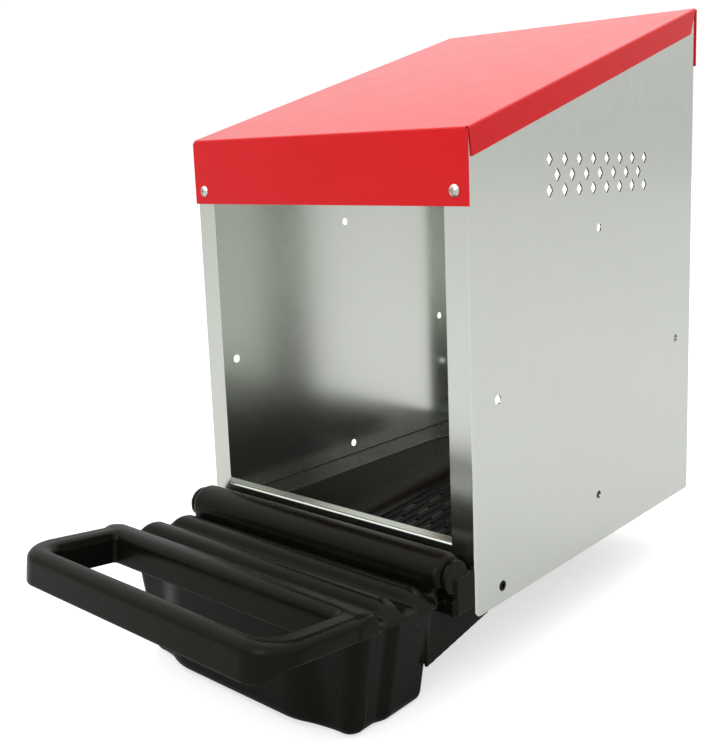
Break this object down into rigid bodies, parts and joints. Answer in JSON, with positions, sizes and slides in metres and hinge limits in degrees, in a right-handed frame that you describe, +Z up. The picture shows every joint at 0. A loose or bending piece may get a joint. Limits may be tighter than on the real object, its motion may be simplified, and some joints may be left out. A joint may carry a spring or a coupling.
{
  "type": "roll-away nest box",
  "caption": "Steel poultry nest box with a sloped roof, a moulded base tray with a front egg basin, and a hinged ribbed perch cover with a grip loop.",
  "frame": {"origin": "centre of the four wall-fixing holes on the outer face of the back panel", "axes": "+X to the right seen from the entrance, +Y to the back into the wall, +Z up"},
  "size_m": [0.3022, 0.5751, 0.542],
  "materials": {
    "galvanised_steel": "hot-dip galvanised sheet, fine spangle, satin",
    "red_coating": "smooth semi-gloss coating on steel sheet",
    "black_plastic": "moulded polypropylene, semi-gloss",
    "mat_plastic": "moulded mat, matte",
    "zinc_plate": "bright zinc plate",
    "spring_steel": "dull zinc plate",
    "rivet_aluminium": "dull"
  },
  "bodies": {
    "nest_box": {"side_panel_left": "galvanised_steel", "side_panel_right": "galvanised_steel", "back_panel": "galvanised_steel", "front_sill": "galvanised_steel", "roof": "red_coating", "base_tray": "black_plastic", "nest_mat": "mat_plastic", "tray_peg_left": "black_plastic", "tray_peg_right": "black_plastic", "roof_screw_front_left": "zinc_plate", "roof_screw_front_right": "zinc_plate", "roof_screw_rear_left": "zinc_plate", "roof_screw_rear_right": "zinc_plate", "hinge_pin_left": "zinc_plate", "hinge_pin_right": "zinc_plate", "speed_nut_front_left": "spring_steel", "speed_nut_front_right": "spring_steel", "speed_nut_rear_left": "spring_steel", "speed_nut_rear_right": "spring_steel", "back_rivets_left": "rivet_aluminium", "back_rivets_right": "rivet_aluminium"},
    "perch_cover": {"perch_cover": "black_plastic"}
  },
  "joints": [
    {"name": "cover_hinge", "type": "hinge", "parent": "nest_box", "child": "perch_cover", "pos_m": [0, -0.389, -0.2118], "axis": [-1, 0, 0], "range_deg": [0, 88]}
  ]
}
